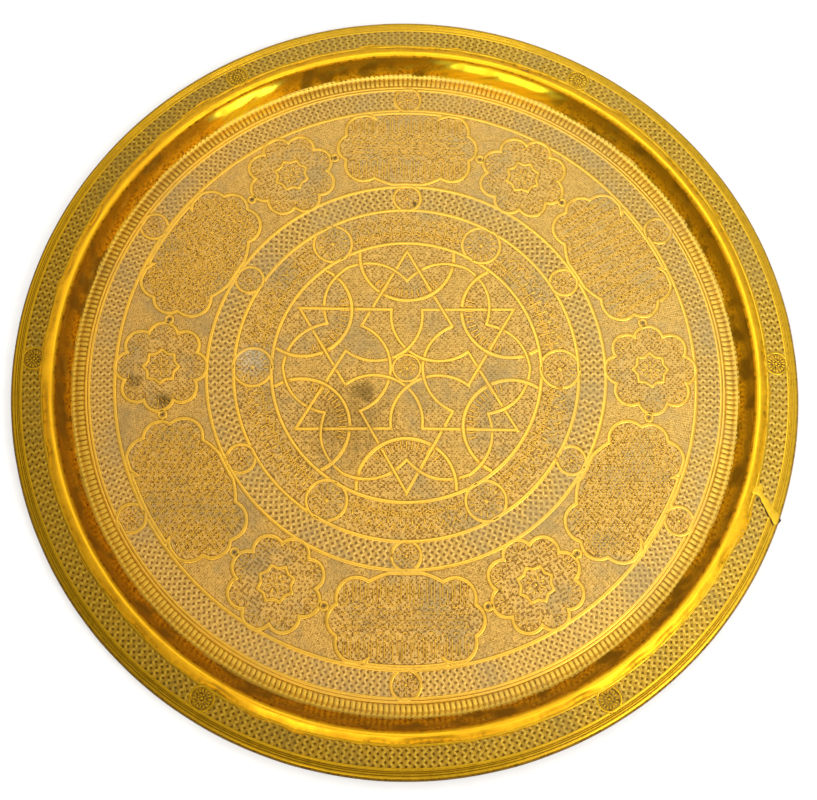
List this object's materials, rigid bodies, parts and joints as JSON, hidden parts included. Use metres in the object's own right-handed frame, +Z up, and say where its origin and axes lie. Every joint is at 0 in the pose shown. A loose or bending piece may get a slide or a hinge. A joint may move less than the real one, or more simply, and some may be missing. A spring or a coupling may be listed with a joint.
{
  "type": "round serving tray",
  "caption": "Round engraved brass serving tray with a flat floor, a short steep wall, a polished ridge and a flat rim rolled over a wire.",
  "frame": {"origin": "on the tray's axis, on the plane of the floor's underside, which is what the tray stands on", "axes": "+Z up out of the well, the thinnest direction; +X through a midpoint between two of the centre star's six tips, and +Y through one of the tips; the mended crack in the rim leaves the edge 24 degrees clockwise of +X, seen from above"},
  "size_m": [0.6, 0.6, 0.0214],
  "materials": {
    "tray_brass": "golden yellow brass: polished straps and ridge over a dull chased and matted ground, brown in the hollows",
    "edge_wire": "drawn iron wire, hidden in the rolled edge",
    "braze": "bright brazing brass, filed down and burnished, with a dark line along each side"
  },
  "bodies": {
    "root": {"tray_sheet": "tray_brass", "rim_wire": "edge_wire", "braze_repair": "braze"}
  },
  "joints": []
}
